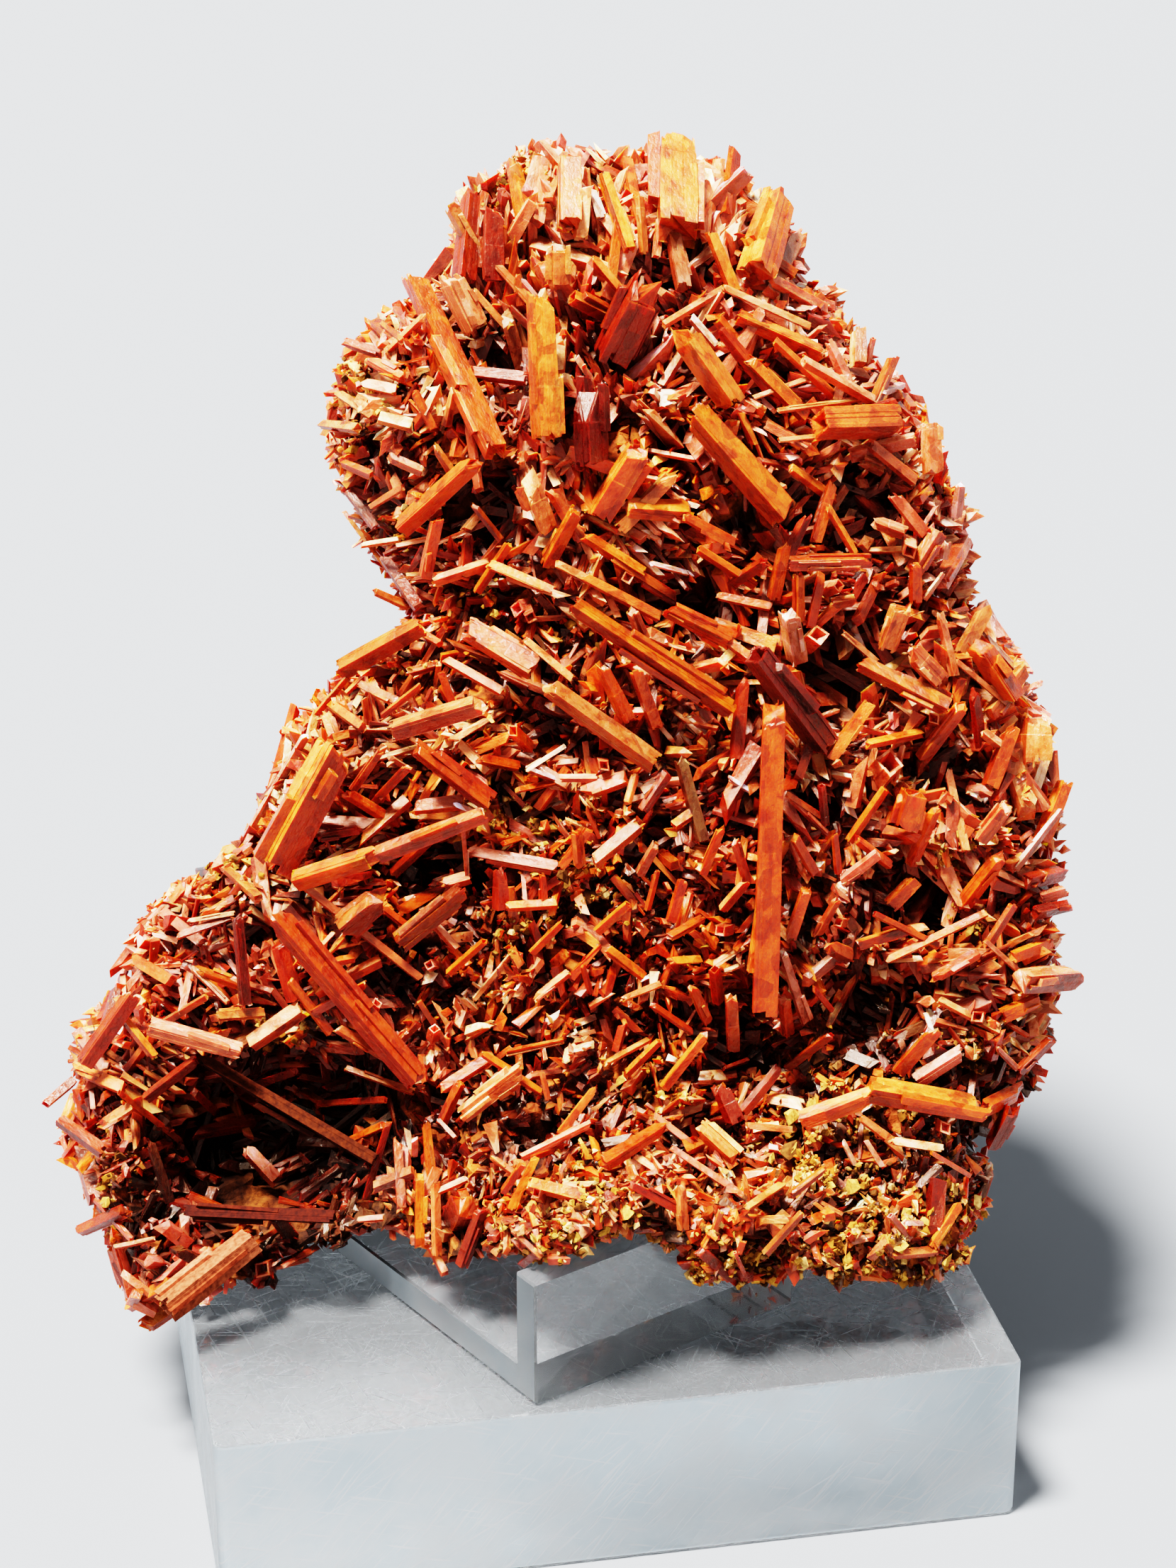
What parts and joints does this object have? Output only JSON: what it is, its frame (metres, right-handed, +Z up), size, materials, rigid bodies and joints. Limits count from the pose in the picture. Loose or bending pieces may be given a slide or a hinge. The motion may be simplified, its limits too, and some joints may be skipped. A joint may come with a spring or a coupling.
{
  "type": "crocoite crystals on matrix with display stand",
  "caption": "Leaning crust of crossed prismatic crocoite crystals on brown gossan, held in a clear cemented easel on a thick clear block.",
  "frame": {"origin": "centre of the block's flat underside", "axes": "+Z up, +X along the block's length to the specimen's right, +Y to the back, so the specimen's crystal face looks towards -Y"},
  "size_m": [0.1346, 0.1058, 0.1601],
  "materials": {
    "acrylic": "clear, polished, lightly scratched",
    "matrix": "rough gossan crusted with small crystals",
    "crocoite_orange": "glossy, striated",
    "crocoite_red": "glossy, striated",
    "crocoite_amber": "glossy, striated",
    "crocoite_pale": "glossy, striated"
  },
  "bodies": {
    "root": {"crystal_big_left": "crocoite_orange", "crystal_cave_beam": "crocoite_orange", "crystal_cave_sill": "crocoite_orange", "crystal_centre_fan": "crocoite_amber", "crystal_centre_post": "crocoite_orange", "crystal_centre_post_back": "crocoite_amber", "crystal_chisel_right": "crocoite_pale", "crystal_crown_broad": "crocoite_pale", "crystal_crown_chisel": "crocoite_pale", "crystal_crown_left_post": "crocoite_orange", "crystal_crown_right": "crocoite_red", "crystal_crown_slender": "crocoite_pale", "crystal_dark_block": "crocoite_red", "crystal_dark_diagonal": "crocoite_orange", "crystal_dark_leaf": "crocoite_red", "crystal_dark_thick": "crocoite_red", "crystal_foot_pink": "crocoite_pale", "crystal_left_band": "crocoite_amber", "crystal_left_crossing": "crocoite_orange", "crystal_left_drop": "crocoite_red", "crystal_left_edge": "crocoite_red", "crystal_left_inner": "crocoite_orange", "crystal_left_long": "crocoite_orange", "crystal_left_pale_bar": "crocoite_pale", "crystal_left_ridge": "crocoite_orange", "crystal_left_roof": "crocoite_orange", "crystal_left_shoulder": "crocoite_orange", "crystal_left_slab": "crocoite_orange", "crystal_long_diagonal": "crocoite_orange", "crystal_long_upright": "crocoite_orange", "crystal_lower_right_long": "crocoite_amber", "crystal_lower_yellow": "crocoite_amber", "crystal_neck_left_bar": "crocoite_red", "crystal_pale_stub": "crocoite_pale", "crystal_pale_wedge": "crocoite_amber", "crystal_right_block": "crocoite_amber", "crystal_right_chip": "crocoite_pale", "crystal_right_ledge": "crocoite_orange", "crystal_right_long": "crocoite_amber", "crystal_right_orange": "crocoite_amber", "crystal_right_shoulder_post": "crocoite_amber", "crystal_right_spike": "crocoite_orange", "crystal_right_yellow": "crocoite_amber", "crystal_rim_dark": "crocoite_red", "crystal_rim_slab": "crocoite_amber", "crystal_second_diagonal": "crocoite_orange", "crystal_shoulder_long": "crocoite_orange", "crystal_shoulder_short": "crocoite_pale", "crystal_upper_right_bar": "crocoite_orange", "crystal_upper_right_long": "crocoite_orange", "matrix": "matrix", "stand_block": "acrylic", "stand_easel": "acrylic"}
  },
  "joints": []
}
